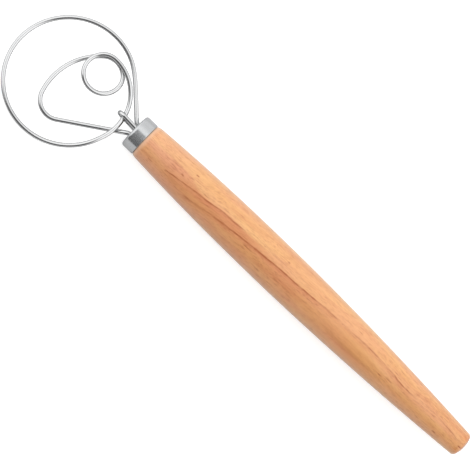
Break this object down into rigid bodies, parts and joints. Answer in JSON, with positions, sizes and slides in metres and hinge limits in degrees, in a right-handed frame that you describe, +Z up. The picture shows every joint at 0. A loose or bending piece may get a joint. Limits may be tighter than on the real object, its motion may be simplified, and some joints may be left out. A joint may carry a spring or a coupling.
{
  "type": "dough whisk",
  "caption": "Dough whisk with a turned wooden handle, a steel ferrule and a flat head bent from stiff steel wire, a ring round a teardrop loop with a small curl.",
  "frame": {"origin": "middle of the base of the bounding box, on the surface that the whisk lies on", "axes": "+X along the handle's axis towards the head, +Z up, +Y to the left when the head is away from the viewer; the whisk lies rolled 17 degrees to its left about the handle's axis, so the handle's belly and the ring's left side both touch the surface"},
  "size_m": [0.34, 0.072, 0.0273],
  "materials": {
    "wood": "warm orange-tan hardwood, oiled, with long dark grain lines and fine flecks",
    "ferrule_steel": "satin drawn stainless steel",
    "wire_steel": "bright polished stainless steel wire",
    "glue": "set amber epoxy"
  },
  "bodies": {
    "root": {"handle": "wood", "ferrule": "ferrule_steel", "head_wire": "wire_steel", "eye_wire": "wire_steel", "adhesive_plug": "glue"}
  },
  "joints": []
}
